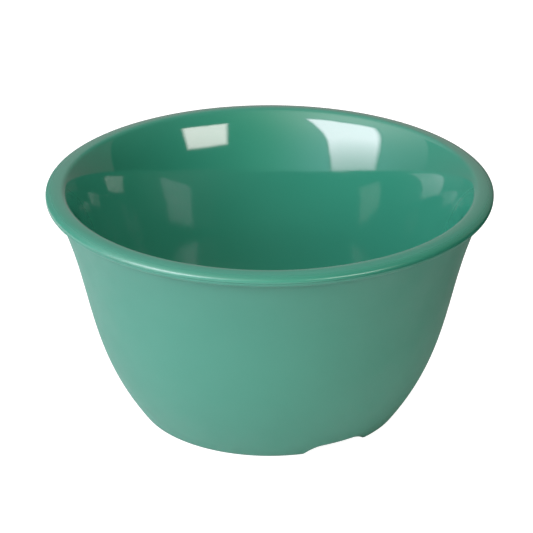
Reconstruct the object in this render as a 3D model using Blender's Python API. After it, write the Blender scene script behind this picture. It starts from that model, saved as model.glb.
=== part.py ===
"""A small round mixing bowl, compression moulded from melamine in two strokes.

The bowl stands on the XY plane with its axis on Z. The origin is the middle of the foot's
underside, +Z points up and -Y is the front. Lengths are in metres.

bowl_body    the coloured moulding: wall, lip, floor, foot ring, recess and drain notches
inner_glaze  the clear layer pressed over the inside and over the top of the lip
"""

from math import cos, hypot, pi, radians, sin

import bmesh
import bpy
from mathutils import Matrix, Vector

# Overall size: a bowl sold as 4 in across and 2 1/8 in high.
RIM_RADIUS = 0.0508
HEIGHT = 0.054

# Lip, measured down from its crest.
CREST_RADIUS = 0.0475
WIDEST_DEPTH = 0.0013
PARTING_DEPTH = 0.0016
LIP_DEPTH = 0.0027
LIP_EDGE_ROUND = 0.0009
INNER_ROUND_WIDTH = 0.0017
INNER_ROUND_DEPTH = 0.0019
INNER_ROUND_SWEEP = radians(50)

# Outer wall: one S-curve from the lip's underside down to the foot's edge, as (radius, height).
WALL_TOP = (0.0488, 0.0510)
WALL_UPPER_HANDLE = (0.0404, 0.0317)
WALL_LOWER_HANDLE = (0.0430, 0.0180)
WALL_FOOT = (0.0302, 0.0003)

# Inside, as (radius, height): a flat middle, a curve up into the wall, and one that flares to the lip.
FLOOR_FLAT = (0.0170, 0.0058)
FLOOR_HANDLE = (0.0350, 0.0058)
INSIDE_LOWER_HANDLE = (0.0360, 0.0205)
INSIDE_MIDDLE = (0.0375, 0.0275)
INSIDE_UPPER_HANDLE = (0.0406, 0.0420)
INSIDE_LIP_HANDLE = (0.0431, 0.0493)

# Foot ring and the recess that it stands around.
FOOT_OUTER_RADIUS = 0.0297
FOOT_INNER_RADIUS = 0.0264
RECESS_RADIUS = 0.0258
RECESS_FLAT_RADIUS = 0.0250
RECESS_DEPTH = 0.0025
RECESS_ROUND = 0.0006

# Drain notches across the foot ring: low arches, the first a little to the right of the front.
NOTCH_COUNT = 3
NOTCH_FIRST_TURN = radians(30.2)
NOTCH_HEIGHT = 0.0017
NOTCH_WIDTH = 0.0160
NOTCH_SQUARENESS = 3.2
NOTCH_STEPS = 10
NOTCH_INNER_END = 0.0220
NOTCH_OUTER_END = 0.0340
CUTTER_OVERRUN = 0.0010

# The glaze, and the gap that keeps its solid off the body.
GLAZE_THICKNESS = 0.00035
GLAZE_GAP = 0.0003

# Fineness of the turned surfaces.
TURN_STEPS = 72
WALL_STEPS = 9
INSIDE_STEPS = 6
ROUND_STEPS = 4
AXIS_MERGE_DISTANCE = 1e-6
SHARP_ANGLE = radians(35)

BODY_COLOUR = (0.031, 0.19, 0.135, 1.0)
BODY_ROUGHNESS = 0.40
GLAZE_COLOUR = (0.025, 0.19, 0.127, 1.0)
GLAZE_ROUGHNESS = 0.08


def clear_scene():
    """Remove every object that the file opened with."""
    for old in list(bpy.data.objects):
        bpy.data.objects.remove(old, do_unlink=True)


def bezier(start, start_handle, end_handle, end, steps):
    """Points along a cubic Bezier curve, both ends included."""
    points = []
    for step in range(steps + 1):
        t = step / steps
        weights = ((1 - t) ** 3, 3 * (1 - t) ** 2 * t, 3 * (1 - t) * t**2, t**3)
        corners = (start, start_handle, end_handle, end)
        radius = sum(weight * corner[0] for weight, corner in zip(weights, corners))
        height = sum(weight * corner[1] for weight, corner in zip(weights, corners))
        points.append((radius, height))
    return points


def arc(centre, width, depth, first_angle, last_angle, steps):
    """Points along an elliptical arc, both ends included."""
    points = []
    for step in range(steps + 1):
        angle = first_angle + (last_angle - first_angle) * step / steps
        points.append((centre[0] + width * cos(angle), centre[1] + depth * sin(angle)))
    return points


def offset(points, distance):
    """Move an outline by a distance to the right of its direction of travel."""
    moved = []
    for index, (radius, height) in enumerate(points):
        before = points[max(index - 1, 0)]
        after = points[min(index + 1, len(points) - 1)]
        along_radius = after[0] - before[0]
        along_height = after[1] - before[1]
        length = hypot(along_radius, along_height)
        moved.append((radius + distance * along_height / length, height - distance * along_radius / length))
    return moved


def food_side():
    """Outline of the bowl's inside, from the axis up to the crest and over to the parting line."""
    inner_round = arc(
        (CREST_RADIUS, HEIGHT - INNER_ROUND_DEPTH),
        INNER_ROUND_WIDTH,
        INNER_ROUND_DEPTH,
        pi / 2 + INNER_ROUND_SWEEP,
        pi / 2,
        ROUND_STEPS,
    )
    outer_round = arc(
        (CREST_RADIUS, HEIGHT - WIDEST_DEPTH),
        RIM_RADIUS - CREST_RADIUS,
        WIDEST_DEPTH,
        pi / 2,
        0,
        ROUND_STEPS,
    )
    lower_wall = bezier(FLOOR_FLAT, FLOOR_HANDLE, INSIDE_LOWER_HANDLE, INSIDE_MIDDLE, INSIDE_STEPS)
    upper_wall = bezier(INSIDE_MIDDLE, INSIDE_UPPER_HANDLE, INSIDE_LIP_HANDLE, inner_round[0], INSIDE_STEPS)
    axis_point = (0.0, FLOOR_FLAT[1])
    parting_point = (RIM_RADIUS, HEIGHT - PARTING_DEPTH)
    return [axis_point, *lower_wall, *upper_wall[1:], *inner_round[1:], *outer_round[1:], parting_point]


def outer_side():
    """Outline of the body's outside, from just under the parting line down to the foot's edge."""
    step_height = HEIGHT - PARTING_DEPTH - GLAZE_GAP
    lip_edge = arc(
        (RIM_RADIUS - LIP_EDGE_ROUND, step_height),
        LIP_EDGE_ROUND,
        step_height - (HEIGHT - LIP_DEPTH),
        0,
        -pi / 2,
        ROUND_STEPS,
    )
    wall = bezier(WALL_TOP, WALL_UPPER_HANDLE, WALL_LOWER_HANDLE, WALL_FOOT, WALL_STEPS)
    return lip_edge + wall


def underside():
    """Outline of the foot ring and the recess, from the foot's outer edge in to the axis."""
    return [
        (FOOT_OUTER_RADIUS, 0.0),
        (FOOT_INNER_RADIUS, 0.0),
        (RECESS_RADIUS, RECESS_DEPTH - RECESS_ROUND),
        (RECESS_FLAT_RADIUS, RECESS_DEPTH),
        (0.0, RECESS_DEPTH),
    ]


def body_outline():
    """The body's section, from the axis at its floor round to the axis at its recess."""
    glaze_bed = offset(food_side(), GLAZE_THICKNESS + GLAZE_GAP)
    step_corner = (glaze_bed[-1][0], HEIGHT - PARTING_DEPTH - GLAZE_GAP)
    return [*glaze_bed[:-1], step_corner, *outer_side(), *underside()]


def glaze_outline():
    """The glaze's section, out along the food side and back along its bonded face."""
    bonded_face = offset(food_side(), GLAZE_THICKNESS)
    return food_side() + bonded_face[::-1]


def turn(name, outline, material):
    """Turn an outline about Z into one closed, smooth-shaded solid."""
    shape = bmesh.new()
    corners = [shape.verts.new((radius, 0.0, height)) for radius, height in outline]
    edges = [shape.edges.new(pair) for pair in zip(corners, corners[1:])]
    bmesh.ops.spin(
        shape,
        geom=corners + edges,
        cent=(0.0, 0.0, 0.0),
        axis=(0.0, 0.0, 1.0),
        angle=2 * pi,
        steps=TURN_STEPS,
        use_merge=True,
    )
    bmesh.ops.remove_doubles(shape, verts=shape.verts, dist=AXIS_MERGE_DISTANCE)
    bmesh.ops.recalc_face_normals(shape, faces=shape.faces)

    mesh = bpy.data.meshes.new(name)
    shape.to_mesh(mesh)
    shape.free()
    mesh.shade_smooth()
    mesh.set_sharp_from_angle(angle=SHARP_ANGLE)
    mesh.materials.append(material)

    solid = bpy.data.objects.new(name, mesh)
    bpy.context.scene.collection.objects.link(solid)
    return solid


def plastic(name, colour, roughness):
    """A plain moulded plastic."""
    material = bpy.data.materials.new(name)
    material.use_nodes = True
    shader = material.node_tree.nodes["Principled BSDF"]
    shader.inputs["Base Color"].default_value = colour
    shader.inputs["Roughness"].default_value = roughness
    shader.inputs["Metallic"].default_value = 0.0
    return material


def notch_section():
    """A drain notch seen along the foot's radius, run on below the foot so that it cuts cleanly."""
    half_width = NOTCH_WIDTH / 2
    section = [(-half_width, -CUTTER_OVERRUN)]
    for step in range(NOTCH_STEPS + 1):
        share = 2 * step / NOTCH_STEPS - 1
        section.append((half_width * share, NOTCH_HEIGHT * (1 - abs(share) ** NOTCH_SQUARENESS)))
    section.append((half_width, -CUTTER_OVERRUN))
    return section


def notch_cutter(index):
    """A block that reaches across the foot ring where one drain notch goes."""
    shape = bmesh.new()
    corners = [shape.verts.new((NOTCH_INNER_END, across, height)) for across, height in notch_section()]
    inner_end = shape.faces.new(corners)
    grown = bmesh.ops.extrude_face_region(shape, geom=[inner_end])
    outer_corners = [item for item in grown["geom"] if isinstance(item, bmesh.types.BMVert)]
    reach = Vector((NOTCH_OUTER_END - NOTCH_INNER_END, 0.0, 0.0))
    bmesh.ops.translate(shape, verts=outer_corners, vec=reach)
    turn_from_front = NOTCH_FIRST_TURN + index * 2 * pi / NOTCH_COUNT
    bmesh.ops.transform(shape, verts=shape.verts, matrix=Matrix.Rotation(turn_from_front - pi / 2, 4, "Z"))
    bmesh.ops.recalc_face_normals(shape, faces=shape.faces)

    name = f"notch_cutter_{index + 1}"
    mesh = bpy.data.meshes.new(name)
    shape.to_mesh(mesh)
    shape.free()
    cutter = bpy.data.objects.new(name, mesh)
    cutter.hide_render = True
    cutter.display_type = "WIRE"
    bpy.context.scene.collection.objects.link(cutter)
    return cutter


def cut_notches(body):
    """Cut the drain notches through the foot ring."""
    for index in range(NOTCH_COUNT):
        cut = body.modifiers.new(f"notch_{index + 1}", "BOOLEAN")
        cut.operation = "DIFFERENCE"
        cut.solver = "EXACT"
        cut.object = notch_cutter(index)


def bowl_body():
    """The coloured moulding."""
    body = turn("bowl_body", body_outline(), plastic("body_melamine", BODY_COLOUR, BODY_ROUGHNESS))
    cut_notches(body)
    return body


def inner_glaze():
    """The clear layer over the food side and the top of the lip."""
    return turn("inner_glaze", glaze_outline(), plastic("glaze_resin", GLAZE_COLOUR, GLAZE_ROUGHNESS))


clear_scene()
bowl_body()
inner_glaze()
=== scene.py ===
"""The looks of the small melamine mixing bowl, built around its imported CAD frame.

Every length is in metres, in the frame's own axes: the bowl stands on the XY plane with its axis
on Z, and -Y is the front, where the camera is.
"""

from math import atan2, cos, hypot, pi, radians, sin

import bmesh
import bpy
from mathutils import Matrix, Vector


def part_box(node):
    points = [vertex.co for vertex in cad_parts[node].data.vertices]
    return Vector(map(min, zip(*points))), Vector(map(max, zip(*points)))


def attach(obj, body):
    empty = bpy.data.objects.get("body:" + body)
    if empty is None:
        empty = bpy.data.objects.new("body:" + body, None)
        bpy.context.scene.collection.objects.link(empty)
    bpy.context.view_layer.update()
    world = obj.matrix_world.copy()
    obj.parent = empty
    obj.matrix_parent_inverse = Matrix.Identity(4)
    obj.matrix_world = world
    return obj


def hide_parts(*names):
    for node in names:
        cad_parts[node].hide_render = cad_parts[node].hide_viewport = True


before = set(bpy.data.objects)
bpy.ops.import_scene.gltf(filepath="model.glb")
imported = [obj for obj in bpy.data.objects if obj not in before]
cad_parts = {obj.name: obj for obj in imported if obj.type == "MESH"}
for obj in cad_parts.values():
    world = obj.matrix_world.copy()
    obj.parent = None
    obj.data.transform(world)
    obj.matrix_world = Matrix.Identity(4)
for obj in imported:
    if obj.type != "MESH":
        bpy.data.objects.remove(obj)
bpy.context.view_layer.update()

# Overall size, from the frame.
RIM_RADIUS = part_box("inner_glaze")[1].x
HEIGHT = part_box("inner_glaze")[1].z

# Lip, measured down from its crest.
CREST_RADIUS = 0.0475
WIDEST_DEPTH = 0.0013
PARTING_DEPTH = 0.0016
LIP_DEPTH = 0.0027
LIP_EDGE_ROUND = 0.0009
INNER_ROUND_WIDTH = 0.0017
INNER_ROUND_DEPTH = 0.0019
INNER_ROUND_SWEEP = radians(50)

# The parting line: a hair-fine groove where the glaze's edge meets the body.
PARTING_GROOVE = 0.00006

# Outer wall: one S-curve from the lip's underside down to the foot's edge, as (radius, height).
WALL_TOP = (0.0488, 0.0510)
WALL_UPPER_HANDLE = (0.0404, 0.0317)
WALL_LOWER_HANDLE = (0.0430, 0.0180)
WALL_FOOT = (0.0302, 0.0003)
LIP_ROOT_ROUND = 0.0007

# Inside, as (radius, height): a flat middle, a curve up into the wall, and one that flares to the lip.
FLOOR_FLAT = (0.0170, 0.0058)
FLOOR_HANDLE = (0.0350, 0.0058)
INSIDE_LOWER_HANDLE = (0.0360, 0.0205)
INSIDE_MIDDLE = (0.0375, 0.0275)
INSIDE_UPPER_HANDLE = (0.0406, 0.0420)
INSIDE_LIP_HANDLE = (0.0431, 0.0493)

# Foot ring and the recess that it stands around.
FOOT_OUTER_RADIUS = 0.0297
FOOT_INNER_RADIUS = 0.0264
FOOT_EDGE_ROUND = 0.0003
RECESS_RADIUS = 0.0258
RECESS_DEPTH = 0.0025
RECESS_ROUND = 0.0007

# Drain notches across the foot ring: low arches, the first a little to the right of the front.
NOTCH_COUNT = 3
NOTCH_FIRST_TURN = radians(30.2)
NOTCH_HEIGHT = 0.0017
NOTCH_WIDTH = 0.0160
NOTCH_SQUARENESS = 3.2

# The glaze, and the hair's breadth that keeps its mesh off the body's.
GLAZE_THICKNESS = 0.00035
GLAZE_BOND_GAP = 0.00002

# Fineness of the turned surfaces. The turn is finer near a drain notch, over a share of its width.
COARSE_TURN = radians(1.5)
FINE_TURN = radians(0.5)
FINE_SHARE = 0.6
WALL_STEPS = 64
INSIDE_STEPS = 40
ROUND_STEPS = 12
SMALL_ROUND_STEPS = 6
SHARP_ANGLE = radians(38)

# Camera: at the photograph's height above the bowl, far enough away for its gentle perspective.
CAMERA_ELEVATION = radians(24.45)
CAMERA_DISTANCE = 0.700
CAMERA_TARGET = Vector((-0.0007, 0.0, 0.0334))
CAMERA_LENS = 205.9
CAMERA_CLIP_START = 0.01
SENSOR_WIDTH = 36.0

# Greens, as linear light. The satin body looks a little greyer than the same green under the glaze.
BODY_DEEP = (0.033, 0.184, 0.130, 1.0)
BODY_PALE = (0.038, 0.198, 0.140, 1.0)
GLAZE_DEEP = (0.023, 0.184, 0.122, 1.0)
GLAZE_PALE = (0.027, 0.198, 0.132, 1.0)

# Surface of the satin body and of the glaze. Each roughness is a range. The glaze is duller low
# down and where the lip's edge is trimmed.
BODY_IOR = 1.5
BODY_ROUGHNESS = (0.50, 0.58)
GLAZE_IOR = 1.66
GLAZE_ROUGHNESS = (0.04, 0.07)
GLAZE_DULLING = 0.045
DULL_BELOW = 0.022
BRIGHT_ABOVE = 0.046
TRIM_INNER_RADIUS = 0.0485
TRIM_OUTER_RADIUS = 0.0500
TRIM_DULLING = 0.25

# Patterns on both: features to the metre, and the height of what stands up. NOISE_MIDDLE is where
# most of a noise lies between 0 and 1.
NOISE_MIDDLE = (0.3, 0.7)
CLOUDS_PER_METRE = 28.0
CLOUD_SHARE = 0.7
SPECKLE_PER_METRE = 3200.0
BODY_PATCHES_PER_METRE = 90.0
GRAIN_PER_METRE = 5200.0
GRAIN_HEIGHT = 0.000008
MARKS_PER_METRE = 1500.0
MARKS_STRETCH = 30.0
MARKS_HEIGHT = 0.000004
WIPES_PER_METRE = 2200.0
RIPPLES_PER_METRE = 110.0
RIPPLE_HEIGHT = 0.00002
PEEL_PER_METRE = 700.0
PEEL_HEIGHT = 0.0000015

# Studio. A softbox is an outline of (azimuth, elevation) corners in degrees, seen from the bowl's
# mouth: azimuth 0 is the front, and positive is to the right. Light is linear RGB.
MOUTH_SHARE = 0.8
SOFTBOX_CENTRE = Vector((0.0, 0.0, HEIGHT * MOUTH_SHARE))
SOFTBOX_DISTANCE = 0.80
SOFTBOX_FEATHER = 0.18
SOFTBOX_FULL_RISE = 0.50
KEY_OUTLINE = (
    (-23, 47),
    (-49, 44),
    (-75, 39),
    (-76, 31),
    (-73, 5),
    (-41, 5),
    (-38, 15),
    (-36, 24),
    (-30, 35),
)
KEY_RADIANCE = (11.5, 10.3, 11.6)
KEY_FOOT_SHARE = 0.22
FILL_OUTLINE = ((60, 36), (43, 38), (27, 40), (26, 28), (26, 20), (40, 18), (54, 17), (56, 24))
FILL_RADIANCE = (9.7, 8.6, 8.5)
FILL_FOOT_SHARE = 0.85
LOW_OUTLINE = ((-45, 2), (-85, 2), (-85, -6), (-45, -6))
LOW_RADIANCE = (13.0, 8.0, 9.5)
LOW_FOOT_SHARE = 1.0

# A pale wall behind the bowl, from its right round to its left, in the same azimuths. It is
# brighter in the middle, and the two shares are of its width, measured from its middle.
WALL_FROM = 108.0
WALL_TO = 252.0
WALL_STEP = 6.0
WALL_DISTANCE = 1.50
WALL_RISE = 1.00
WALL_RADIANCE = (0.30, 0.24, 0.25)
WALL_MIDDLE = 0.5
WALL_MIDDLE_GAIN = 1.9
WALL_BRIGHT_SHARE = 0.05
WALL_DIM_SHARE = 0.28

# The dim rest of the studio: patches of light as (azimuth, elevation, sharpness, colour).
STUDIO_PATCHES = (
    (0, 90, 2, (0.24, 0.20, 0.16)),
    (-45, 0, 6, (0.55, 1.00, 1.25)),
    (-45, 45, 8, (2.10, 1.90, 1.90)),
    (-90, 0, 6, (0.30, 0.22, 0.30)),
    (-90, 45, 8, (1.20, 1.00, 1.05)),
    (-135, 45, 8, (0.32, 0.35, 0.40)),
    (0, 0, 6, (0.13, 0.50, 0.32)),
    (0, 45, 8, (0.05, 0.30, 0.05)),
    (50, 0, 6, (0.00, 0.16, 0.10)),
    (180, 45, 8, (0.36, 0.38, 0.41)),
)

# Floor: a white board round the bowl that throws light back, and a white sweep that only the
# camera sees. Both have the tooth of paper.
PAPER_TOOTH_PER_METRE = 900.0
PAPER_TOOTH_SHARE = 0.99
PAPER_ROUGHNESS = 0.9
BOARD_LEFT = -0.60
BOARD_RIGHT = 0.09
BOARD_FRONT = -0.60
BOARD_BACK = 0.30
BOARD_WHITE = 0.90
SWEEP_RADIUS = 5.0
SWEEP_HEIGHT = 4.0
SWEEP_BEND = 1.5
SWEEP_LIFT = 0.00005
SWEEP_WHITE = 0.30
SWEEP_GLOW = 0.96


def bezier(start, start_handle, end_handle, end, steps):
    """Points along a cubic Bezier curve, both ends included."""
    points = []
    for step in range(steps + 1):
        t = step / steps
        weights = ((1 - t) ** 3, 3 * (1 - t) ** 2 * t, 3 * (1 - t) * t**2, t**3)
        corners = (start, start_handle, end_handle, end)
        radius = sum(weight * corner[0] for weight, corner in zip(weights, corners))
        height = sum(weight * corner[1] for weight, corner in zip(weights, corners))
        points.append((radius, height))
    return points


def arc(centre, width, depth, first_angle, last_angle, steps):
    """Points along an elliptical arc, both ends included."""
    points = []
    for step in range(steps + 1):
        angle = first_angle + (last_angle - first_angle) * step / steps
        points.append((centre[0] + width * cos(angle), centre[1] + depth * sin(angle)))
    return points


def rounded(before, corner, after, reach, steps):
    """A corner's points, eased by a curve that leaves each side at a distance from the corner."""
    ends = []
    for other in (before, after):
        length = hypot(other[0] - corner[0], other[1] - corner[1])
        share = reach / length
        ends.append(tuple(at + (toward - at) * share for at, toward in zip(corner, other)))
    return bezier(ends[0], corner, corner, ends[1], steps)


def offset(points, distance):
    """Move an outline by a distance to the right of its direction of travel."""
    moved = []
    for index, (radius, height) in enumerate(points):
        before = points[max(index - 1, 0)]
        after = points[min(index + 1, len(points) - 1)]
        along_radius = after[0] - before[0]
        along_height = after[1] - before[1]
        length = hypot(along_radius, along_height)
        moved.append((radius + distance * along_height / length, height - distance * along_radius / length))
    return moved


def food_side():
    """Outline of the bowl's inside, from the axis up to the crest and over to the parting line."""
    inner_round = arc(
        (CREST_RADIUS, HEIGHT - INNER_ROUND_DEPTH),
        INNER_ROUND_WIDTH,
        INNER_ROUND_DEPTH,
        pi / 2 + INNER_ROUND_SWEEP,
        pi / 2,
        ROUND_STEPS,
    )
    outer_round = arc(
        (CREST_RADIUS, HEIGHT - WIDEST_DEPTH),
        RIM_RADIUS - CREST_RADIUS,
        WIDEST_DEPTH,
        pi / 2,
        0,
        ROUND_STEPS,
    )
    floor = [(FLOOR_FLAT[0] * step / SMALL_ROUND_STEPS, FLOOR_FLAT[1]) for step in range(SMALL_ROUND_STEPS)]
    lower_wall = bezier(FLOOR_FLAT, FLOOR_HANDLE, INSIDE_LOWER_HANDLE, INSIDE_MIDDLE, INSIDE_STEPS)
    upper_wall = bezier(INSIDE_MIDDLE, INSIDE_UPPER_HANDLE, INSIDE_LIP_HANDLE, inner_round[0], INSIDE_STEPS)
    parting_point = (RIM_RADIUS, HEIGHT - PARTING_DEPTH)
    return [*floor, *lower_wall, *upper_wall[1:], *inner_round[1:], *outer_round[1:], parting_point]


def outer_side():
    """Outline of the body's outside, from just under the parting line down to the foot's edge."""
    step_height = HEIGHT - PARTING_DEPTH - PARTING_GROOVE
    lip_edge = arc(
        (RIM_RADIUS - LIP_EDGE_ROUND, step_height),
        LIP_EDGE_ROUND,
        step_height - (HEIGHT - LIP_DEPTH),
        0,
        -pi / 2,
        ROUND_STEPS,
    )
    wall = bezier(WALL_TOP, WALL_UPPER_HANDLE, WALL_LOWER_HANDLE, WALL_FOOT, WALL_STEPS)
    lip_root = rounded(lip_edge[-1], wall[0], wall[1], LIP_ROOT_ROUND, SMALL_ROUND_STEPS)
    return lip_edge + lip_root + [point for point in wall if point[1] < lip_root[-1][1]]


def underside():
    """Outline of the foot ring and the recess, from the foot's outer edge in to the axis."""
    foot_middle = ((FOOT_OUTER_RADIUS + FOOT_INNER_RADIUS) / 2, 0.0)
    ring_top = (RECESS_RADIUS, RECESS_DEPTH)
    outer_edge = rounded(WALL_FOOT, (FOOT_OUTER_RADIUS, 0.0), foot_middle, FOOT_EDGE_ROUND, SMALL_ROUND_STEPS)
    inner_edge = rounded(foot_middle, (FOOT_INNER_RADIUS, 0.0), ring_top, FOOT_EDGE_ROUND, SMALL_ROUND_STEPS)
    recess_middle = (0.0, RECESS_DEPTH)
    ring_foot = (FOOT_INNER_RADIUS, 0.0)
    recess_edge = rounded(ring_foot, ring_top, recess_middle, RECESS_ROUND, SMALL_ROUND_STEPS)
    return [*outer_edge, *inner_edge, *recess_edge, recess_middle]


def body_outline():
    """The body's section, from the axis at its floor round to the axis at its recess."""
    glaze_bed = offset(food_side(), GLAZE_THICKNESS + GLAZE_BOND_GAP)
    step_corner = (glaze_bed[-1][0], HEIGHT - PARTING_DEPTH - PARTING_GROOVE)
    return [*glaze_bed[:-1], step_corner, *outer_side(), *underside()]


def glaze_outline():
    """The glaze's section, out along the food side and back along its bonded face."""
    bonded_face = offset(food_side(), GLAZE_THICKNESS)
    return food_side() + bonded_face[::-1]


def notch_centres():
    """The drain notches' directions, as angles about Z from +X."""
    return [NOTCH_FIRST_TURN - pi / 2 + index * 2 * pi / NOTCH_COUNT for index in range(NOTCH_COUNT)]


def turn_from(angle, centre):
    """How far an angle is from a centre, the short way round."""
    return abs(atan2(sin(angle - centre), cos(angle - centre)))


def notch_lift(angle):
    """How high the foot ring's underside stands above its plane in a direction."""
    half_turn = NOTCH_WIDTH / 2 / FOOT_OUTER_RADIUS
    share = min(turn_from(angle, centre) for centre in notch_centres()) / half_turn
    return NOTCH_HEIGHT * max(1 - share**NOTCH_SQUARENESS, 0.0)


def notched(radius, angle, height):
    """Squeeze the foot ring up under its recess's height where a drain notch crosses it."""
    if height >= RECESS_DEPTH or radius > WALL_UPPER_HANDLE[0]:
        return height
    lift = notch_lift(angle)
    return lift + height * (RECESS_DEPTH - lift) / RECESS_DEPTH


def turn_angles(fine_centres=(), fine_reach=0.0):
    """Directions round the axis, closer together within a reach of some centres."""
    angles = []
    angle = -pi
    while angle < pi - FINE_TURN / 2:
        angles.append(angle)
        is_fine = any(turn_from(angle, centre) < fine_reach for centre in fine_centres)
        angle += FINE_TURN if is_fine else COARSE_TURN
    return angles


def turned(name, outline, material, angles, height_at=None):
    """Turn an outline that starts and ends on the axis into one closed, smooth-shaded piece."""
    shape = bmesh.new()
    rings = []
    for radius, height in outline:
        if radius == 0.0:
            rings.append([shape.verts.new((0.0, 0.0, height))])
            continue
        ring = []
        for angle in angles:
            level = height_at(radius, angle, height) if height_at else height
            ring.append(shape.verts.new((radius * cos(angle), radius * sin(angle), level)))
        rings.append(ring)
    for inner, outer in zip(rings, rings[1:]):
        for index in range(len(angles)):
            after = (index + 1) % len(angles)
            if len(inner) == 1:
                shape.faces.new((inner[0], outer[index], outer[after]))
            elif len(outer) == 1:
                shape.faces.new((inner[after], inner[index], outer[0]))
            else:
                shape.faces.new((inner[index], outer[index], outer[after], inner[after]))
    bmesh.ops.recalc_face_normals(shape, faces=shape.faces)
    mesh = bpy.data.meshes.new(name)
    shape.to_mesh(mesh)
    shape.free()
    mesh.shade_smooth()
    mesh.set_sharp_from_angle(angle=SHARP_ANGLE)
    mesh.materials.append(material)
    piece = bpy.data.objects.new(name, mesh)
    bpy.context.scene.collection.objects.link(piece)
    return piece


def new_material(name):
    """A node material, its tree and its Principled BSDF."""
    material = bpy.data.materials.new(name)
    material.use_nodes = True
    tree = material.node_tree
    return material, tree, tree.nodes["Principled BSDF"]


def node(tree, kind, inputs=None, **settings):
    """Add a node, with its settings, and its inputs given as values or as sockets to link."""
    made = tree.nodes.new(kind)
    for setting, value in settings.items():
        setattr(made, setting, value)
    for socket, value in (inputs or {}).items():
        if isinstance(value, bpy.types.NodeSocket):
            tree.links.new(value, made.inputs[socket])
        else:
            made.inputs[socket].default_value = value
    return made


def noise(tree, place, per_metre):
    """Noise from 0 to 1, with so many features to the metre."""
    return node(tree, "ShaderNodeTexNoise", {"Vector": place, "Scale": per_metre}).outputs["Fac"]


def remap(tree, value, from_low, from_high, to_low, to_high):
    """A value moved from one range to another, and kept inside the new one."""
    inputs = {
        "Value": value,
        "From Min": from_low,
        "From Max": from_high,
        "To Min": to_low,
        "To Max": to_high,
    }
    return node(tree, "ShaderNodeMapRange", inputs).outputs["Result"]


def combine(tree, operation, first, second=0.0):
    """Two values put together by arithmetic. A root or an absolute value reads only the first."""
    return node(tree, "ShaderNodeMath", {0: first, 1: second}, operation=operation).outputs["Value"]


def object_place(tree):
    """Where a point is on the bowl, in metres."""
    return node(tree, "ShaderNodeTexCoord").outputs["Object"]


def pigment(tree, place, deep, pale):
    """Moulding green: broad, faint clouds with a fine speckle of pigment."""
    clouds = remap(tree, noise(tree, place, CLOUDS_PER_METRE), *NOISE_MIDDLE, 0.0, CLOUD_SHARE)
    speckle = remap(tree, noise(tree, place, SPECKLE_PER_METRE), *NOISE_MIDDLE, 0.0, 1.0 - CLOUD_SHARE)
    blend = combine(tree, "ADD", clouds, speckle)
    return node(tree, "ShaderNodeMixRGB", {"Fac": blend, "Color1": deep, "Color2": pale}).outputs["Color"]


def raised(tree, height, distance, under=None):
    """A normal bumped by a height, over any bumps already there."""
    inputs = {"Height": height, "Distance": distance}
    if under:
        inputs["Normal"] = under
    return node(tree, "ShaderNodeBump", inputs).outputs["Normal"]


def from_axis(tree, place):
    """How far a point is from the bowl's axis."""
    parts = node(tree, "ShaderNodeSeparateXYZ", {"Vector": place}).outputs
    squares = [combine(tree, "MULTIPLY", parts[axis], parts[axis]) for axis in ("X", "Y")]
    return combine(tree, "SQRT", combine(tree, "ADD", *squares))


def turned_marks(tree, place, per_metre):
    """Noise drawn out round the bowl's axis, as polishing leaves it, from 0 to 1."""
    parts = node(tree, "ShaderNodeSeparateXYZ", {"Vector": place}).outputs
    across = combine(tree, "DIVIDE", parts["X"], MARKS_STRETCH)
    along = combine(tree, "DIVIDE", parts["Y"], MARKS_STRETCH)
    level = combine(tree, "ADD", from_axis(tree, place), parts["Z"])
    drawn = node(tree, "ShaderNodeCombineXYZ", {"X": across, "Y": along, "Z": level}).outputs["Vector"]
    return noise(tree, drawn, per_metre)


def satin_melamine():
    """The body as it leaves the mould: an even satin with a fine grain and faint turned mould marks."""
    material, tree, shader = new_material("body_melamine")
    place = object_place(tree)
    tree.links.new(pigment(tree, place, BODY_DEEP, BODY_PALE), shader.inputs["Base Color"])
    patches = noise(tree, place, BODY_PATCHES_PER_METRE)
    tree.links.new(remap(tree, patches, *NOISE_MIDDLE, *BODY_ROUGHNESS), shader.inputs["Roughness"])
    shader.inputs["IOR"].default_value = BODY_IOR
    grain = raised(tree, noise(tree, place, GRAIN_PER_METRE), GRAIN_HEIGHT)
    turning = raised(tree, turned_marks(tree, place, MARKS_PER_METRE), MARKS_HEIGHT, grain)
    ripple = raised(tree, noise(tree, place, RIPPLES_PER_METRE), RIPPLE_HEIGHT, turning)
    tree.links.new(ripple, shader.inputs["Normal"])
    return material


def glaze_roughness(tree, place):
    """Glossy with fine wiping marks: a little duller low down and where the lip's edge is trimmed."""
    marks = turned_marks(tree, place, WIPES_PER_METRE)
    wiping = remap(tree, marks, *NOISE_MIDDLE, *GLAZE_ROUGHNESS)
    level = node(tree, "ShaderNodeSeparateXYZ", {"Vector": place}).outputs["Z"]
    low_down = remap(tree, level, DULL_BELOW, BRIGHT_ABOVE, GLAZE_DULLING, 0.0)
    trimmed = remap(tree, from_axis(tree, place), TRIM_INNER_RADIUS, TRIM_OUTER_RADIUS, 0.0, TRIM_DULLING)
    return combine(tree, "ADD", wiping, combine(tree, "ADD", low_down, trimmed))


def glossy_glaze():
    """The clear glaze over the same green."""
    material, tree, shader = new_material("glaze_resin")
    place = object_place(tree)
    tree.links.new(pigment(tree, place, GLAZE_DEEP, GLAZE_PALE), shader.inputs["Base Color"])
    tree.links.new(glaze_roughness(tree, place), shader.inputs["Roughness"])
    shader.inputs["IOR"].default_value = GLAZE_IOR
    peel = raised(tree, noise(tree, place, PEEL_PER_METRE), PEEL_HEIGHT)
    ripple = raised(tree, noise(tree, place, RIPPLES_PER_METRE), RIPPLE_HEIGHT, peel)
    tree.links.new(ripple, shader.inputs["Normal"])
    return material


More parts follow.
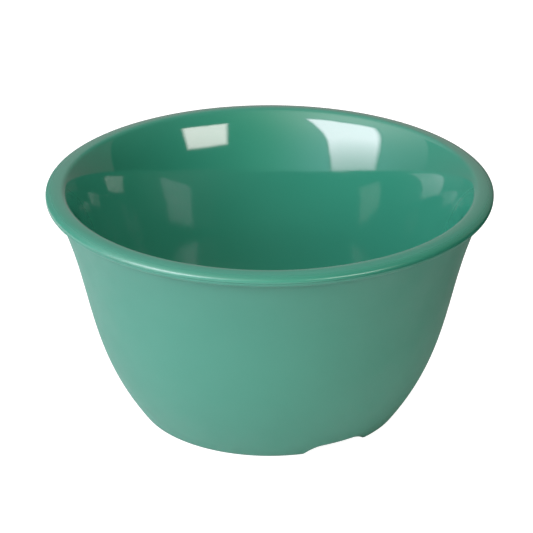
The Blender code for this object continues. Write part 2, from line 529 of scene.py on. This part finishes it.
def build_body():
    """The coloured moulding."""
    fine_reach = NOTCH_WIDTH / FOOT_OUTER_RADIUS * FINE_SHARE
    angles = turn_angles(notch_centres(), fine_reach)
    body = turned("moulded_body", body_outline(), satin_melamine(), angles, notched)
    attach(body, "root")
    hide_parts("bowl_body")


def build_glaze():
    """The glossy layer over the food side and the top of the lip."""
    glaze = turned("food_side_glaze", glaze_outline(), glossy_glaze(), turn_angles())
    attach(glaze, "root")
    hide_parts("inner_glaze")


def build_camera():
    """The photograph's viewpoint."""
    back = Vector((0.0, -cos(CAMERA_ELEVATION), sin(CAMERA_ELEVATION)))
    data = bpy.data.cameras.new("camera")
    data.lens = CAMERA_LENS
    data.sensor_width = SENSOR_WIDTH
    data.clip_start = CAMERA_CLIP_START
    camera = bpy.data.objects.new("camera", data)
    camera.location = CAMERA_TARGET + back * CAMERA_DISTANCE
    camera.rotation_euler = (-back).to_track_quat("-Z", "Y").to_euler()
    bpy.context.scene.collection.objects.link(camera)
    bpy.context.scene.camera = camera


def outward(azimuth, elevation):
    """The direction from the bowl's mouth to a place in the studio, from angles in radians."""
    level = Vector((sin(azimuth), -cos(azimuth), 0.0)) * cos(elevation)
    return level + Vector((0.0, 0.0, sin(elevation)))


def staged(name, shape, material):
    """Put a mesh in the scene as part of the studio."""
    mesh = bpy.data.meshes.new(name)
    shape.to_mesh(mesh)
    shape.free()
    mesh.materials.append(material)
    thing = bpy.data.objects.new(name, mesh)
    bpy.context.scene.collection.objects.link(thing)
    return thing


def glowing(name, colour):
    """A black surface that gives out light, with its tree and shader for adding to."""
    material, tree, shader = new_material(name)
    shader.inputs["Base Color"].default_value = (0.0, 0.0, 0.0, 1.0)
    shader.inputs["Specular IOR Level"].default_value = 0.0
    shader.inputs["Emission Color"].default_value = (*colour, 1.0)
    shader.inputs["Emission Strength"].default_value = 1.0
    return material, tree, shader


def softbox_cloth(name, colour, foot_share):
    """Lit cloth: dimmer towards its foot, and fading out at its edges."""
    material, tree, shader = glowing(name, colour)
    place = node(tree, "ShaderNodeTexCoord").outputs["Generated"]
    rise = node(tree, "ShaderNodeSeparateXYZ", {"Vector": place}).outputs["Z"]
    inset = node(tree, "ShaderNodeAttribute", attribute_name="inset").outputs["Fac"]
    fade_down = remap(tree, rise, 0.0, SOFTBOX_FULL_RISE, foot_share, 1.0)
    fade_out = remap(tree, inset, 0.0, SOFTBOX_FEATHER, 0.0, 1.0)
    tree.links.new(combine(tree, "MULTIPLY", fade_down, fade_out), shader.inputs["Emission Strength"])
    return material


def build_softbox(name, outline, radiance, foot_share):
    """A lit panel facing the bowl, which the camera doesn't see directly."""
    shape = bmesh.new()
    inset = shape.verts.layers.float.new("inset")
    corners = [
        shape.verts.new(SOFTBOX_CENTRE + outward(radians(azimuth), radians(elevation)) * SOFTBOX_DISTANCE)
        for azimuth, elevation in outline
    ]
    middle = shape.verts.new(sum((corner.co for corner in corners), Vector()) / len(corners))
    middle[inset] = 1.0
    for corner, after in zip(corners, corners[1:] + corners[:1]):
        shape.faces.new((middle, corner, after))
    panel = staged(name, shape, softbox_cloth(name, radiance, foot_share))
    panel.visible_camera = False


def wall_paint():
    """Pale paint that is better lit in the middle of the wall."""
    material, tree, shader = glowing("back_wall", WALL_RADIANCE)
    place = node(tree, "ShaderNodeTexCoord").outputs["Generated"]
    across = node(tree, "ShaderNodeSeparateXYZ", {"Vector": place}).outputs["X"]
    off_middle = combine(tree, "ABSOLUTE", combine(tree, "SUBTRACT", across, WALL_MIDDLE))
    gain = remap(tree, off_middle, WALL_BRIGHT_SHARE, WALL_DIM_SHARE, WALL_MIDDLE_GAIN, 1.0)
    tree.links.new(gain, shader.inputs["Emission Strength"])
    return material


def build_back_wall():
    """The pale wall behind the bowl, which lights its flanks."""
    shape = bmesh.new()
    feet = []
    heads = []
    for step in range(int((WALL_TO - WALL_FROM) / WALL_STEP) + 1):
        foot = outward(radians(WALL_FROM + step * WALL_STEP), 0.0) * WALL_DISTANCE
        feet.append(shape.verts.new(foot))
        heads.append(shape.verts.new(foot + Vector((0.0, 0.0, WALL_RISE))))
    for index in range(len(feet) - 1):
        shape.faces.new((feet[index], feet[index + 1], heads[index + 1], heads[index]))
    wall = staged("back_wall", shape, wall_paint())
    wall.visible_camera = False


def build_studio_air():
    """The dim light of the rest of the studio, as soft patches in a few directions."""
    world = bpy.data.worlds.new("studio")
    world.use_nodes = True
    tree = world.node_tree
    toward = node(tree, "ShaderNodeTexCoord").outputs["Generated"]
    light = (0.0, 0.0, 0.0)
    for azimuth, elevation, sharpness, colour in STUDIO_PATCHES:
        centre = outward(radians(azimuth), radians(elevation))
        facing = node(tree, "ShaderNodeVectorMath", {0: toward, 1: centre}, operation="DOT_PRODUCT")
        nearness = combine(tree, "MAXIMUM", facing.outputs["Value"], 0.0)
        strength = combine(tree, "POWER", nearness, sharpness)
        patch = node(tree, "ShaderNodeVectorMath", {0: colour, "Scale": strength}, operation="SCALE")
        both = node(tree, "ShaderNodeVectorMath", {0: light, 1: patch.outputs["Vector"]}, operation="ADD")
        light = both.outputs["Vector"]
    tree.links.new(light, tree.nodes["Background"].inputs["Color"])
    bpy.context.scene.world = world
    bpy.context.scene.view_settings.view_transform = "Standard"


def build_lights():
    """Three softboxes in front of the bowl, a pale wall behind it and a dim studio round them."""
    build_softbox("key_softbox", KEY_OUTLINE, KEY_RADIANCE, KEY_FOOT_SHARE)
    build_softbox("fill_softbox", FILL_OUTLINE, FILL_RADIANCE, FILL_FOOT_SHARE)
    build_softbox("low_softbox", LOW_OUTLINE, LOW_RADIANCE, LOW_FOOT_SHARE)
    build_back_wall()
    build_studio_air()


def white_paper(name, white, glow):
    """Matt white paper with a faint tooth."""
    material, tree, shader = new_material(name)
    tooth = noise(tree, object_place(tree), PAPER_TOOTH_PER_METRE)
    level = remap(tree, tooth, 0.0, 1.0, white * PAPER_TOOTH_SHARE, white)
    tree.links.new(level, shader.inputs["Base Color"])
    shader.inputs["Roughness"].default_value = PAPER_ROUGHNESS
    shader.inputs["Emission Color"].default_value = (1.0, 1.0, 1.0, 1.0)
    shader.inputs["Emission Strength"].default_value = glow
    return material


def build_floor():
    """The white board that the bowl stands on, under a white sweep."""
    shape = bmesh.new()
    corners = (
        (BOARD_LEFT, BOARD_FRONT),
        (BOARD_RIGHT, BOARD_FRONT),
        (BOARD_RIGHT, BOARD_BACK),
        (BOARD_LEFT, BOARD_BACK),
    )
    shape.faces.new([shape.verts.new((across, along, 0.0)) for across, along in corners])
    board = staged("floor", shape, white_paper("white_board", BOARD_WHITE, 0.0))
    board.visible_camera = False

    bend = rounded((0.0, 0.0), (SWEEP_RADIUS, 0.0), (SWEEP_RADIUS, SWEEP_HEIGHT), SWEEP_BEND, ROUND_STEPS)
    outline = [(0.0, 0.0), *bend, (SWEEP_RADIUS, SWEEP_HEIGHT), (0.0, SWEEP_HEIGHT)]
    paper = white_paper("white_sweep", SWEEP_WHITE, SWEEP_GLOW)
    sweep = turned("sweep", outline, paper, turn_angles())
    sweep.location.z = SWEEP_LIFT
    sweep.visible_diffuse = False
    sweep.visible_glossy = False
    sweep.visible_shadow = False


build_camera()
build_lights()
build_floor()
build_body()
build_glaze()
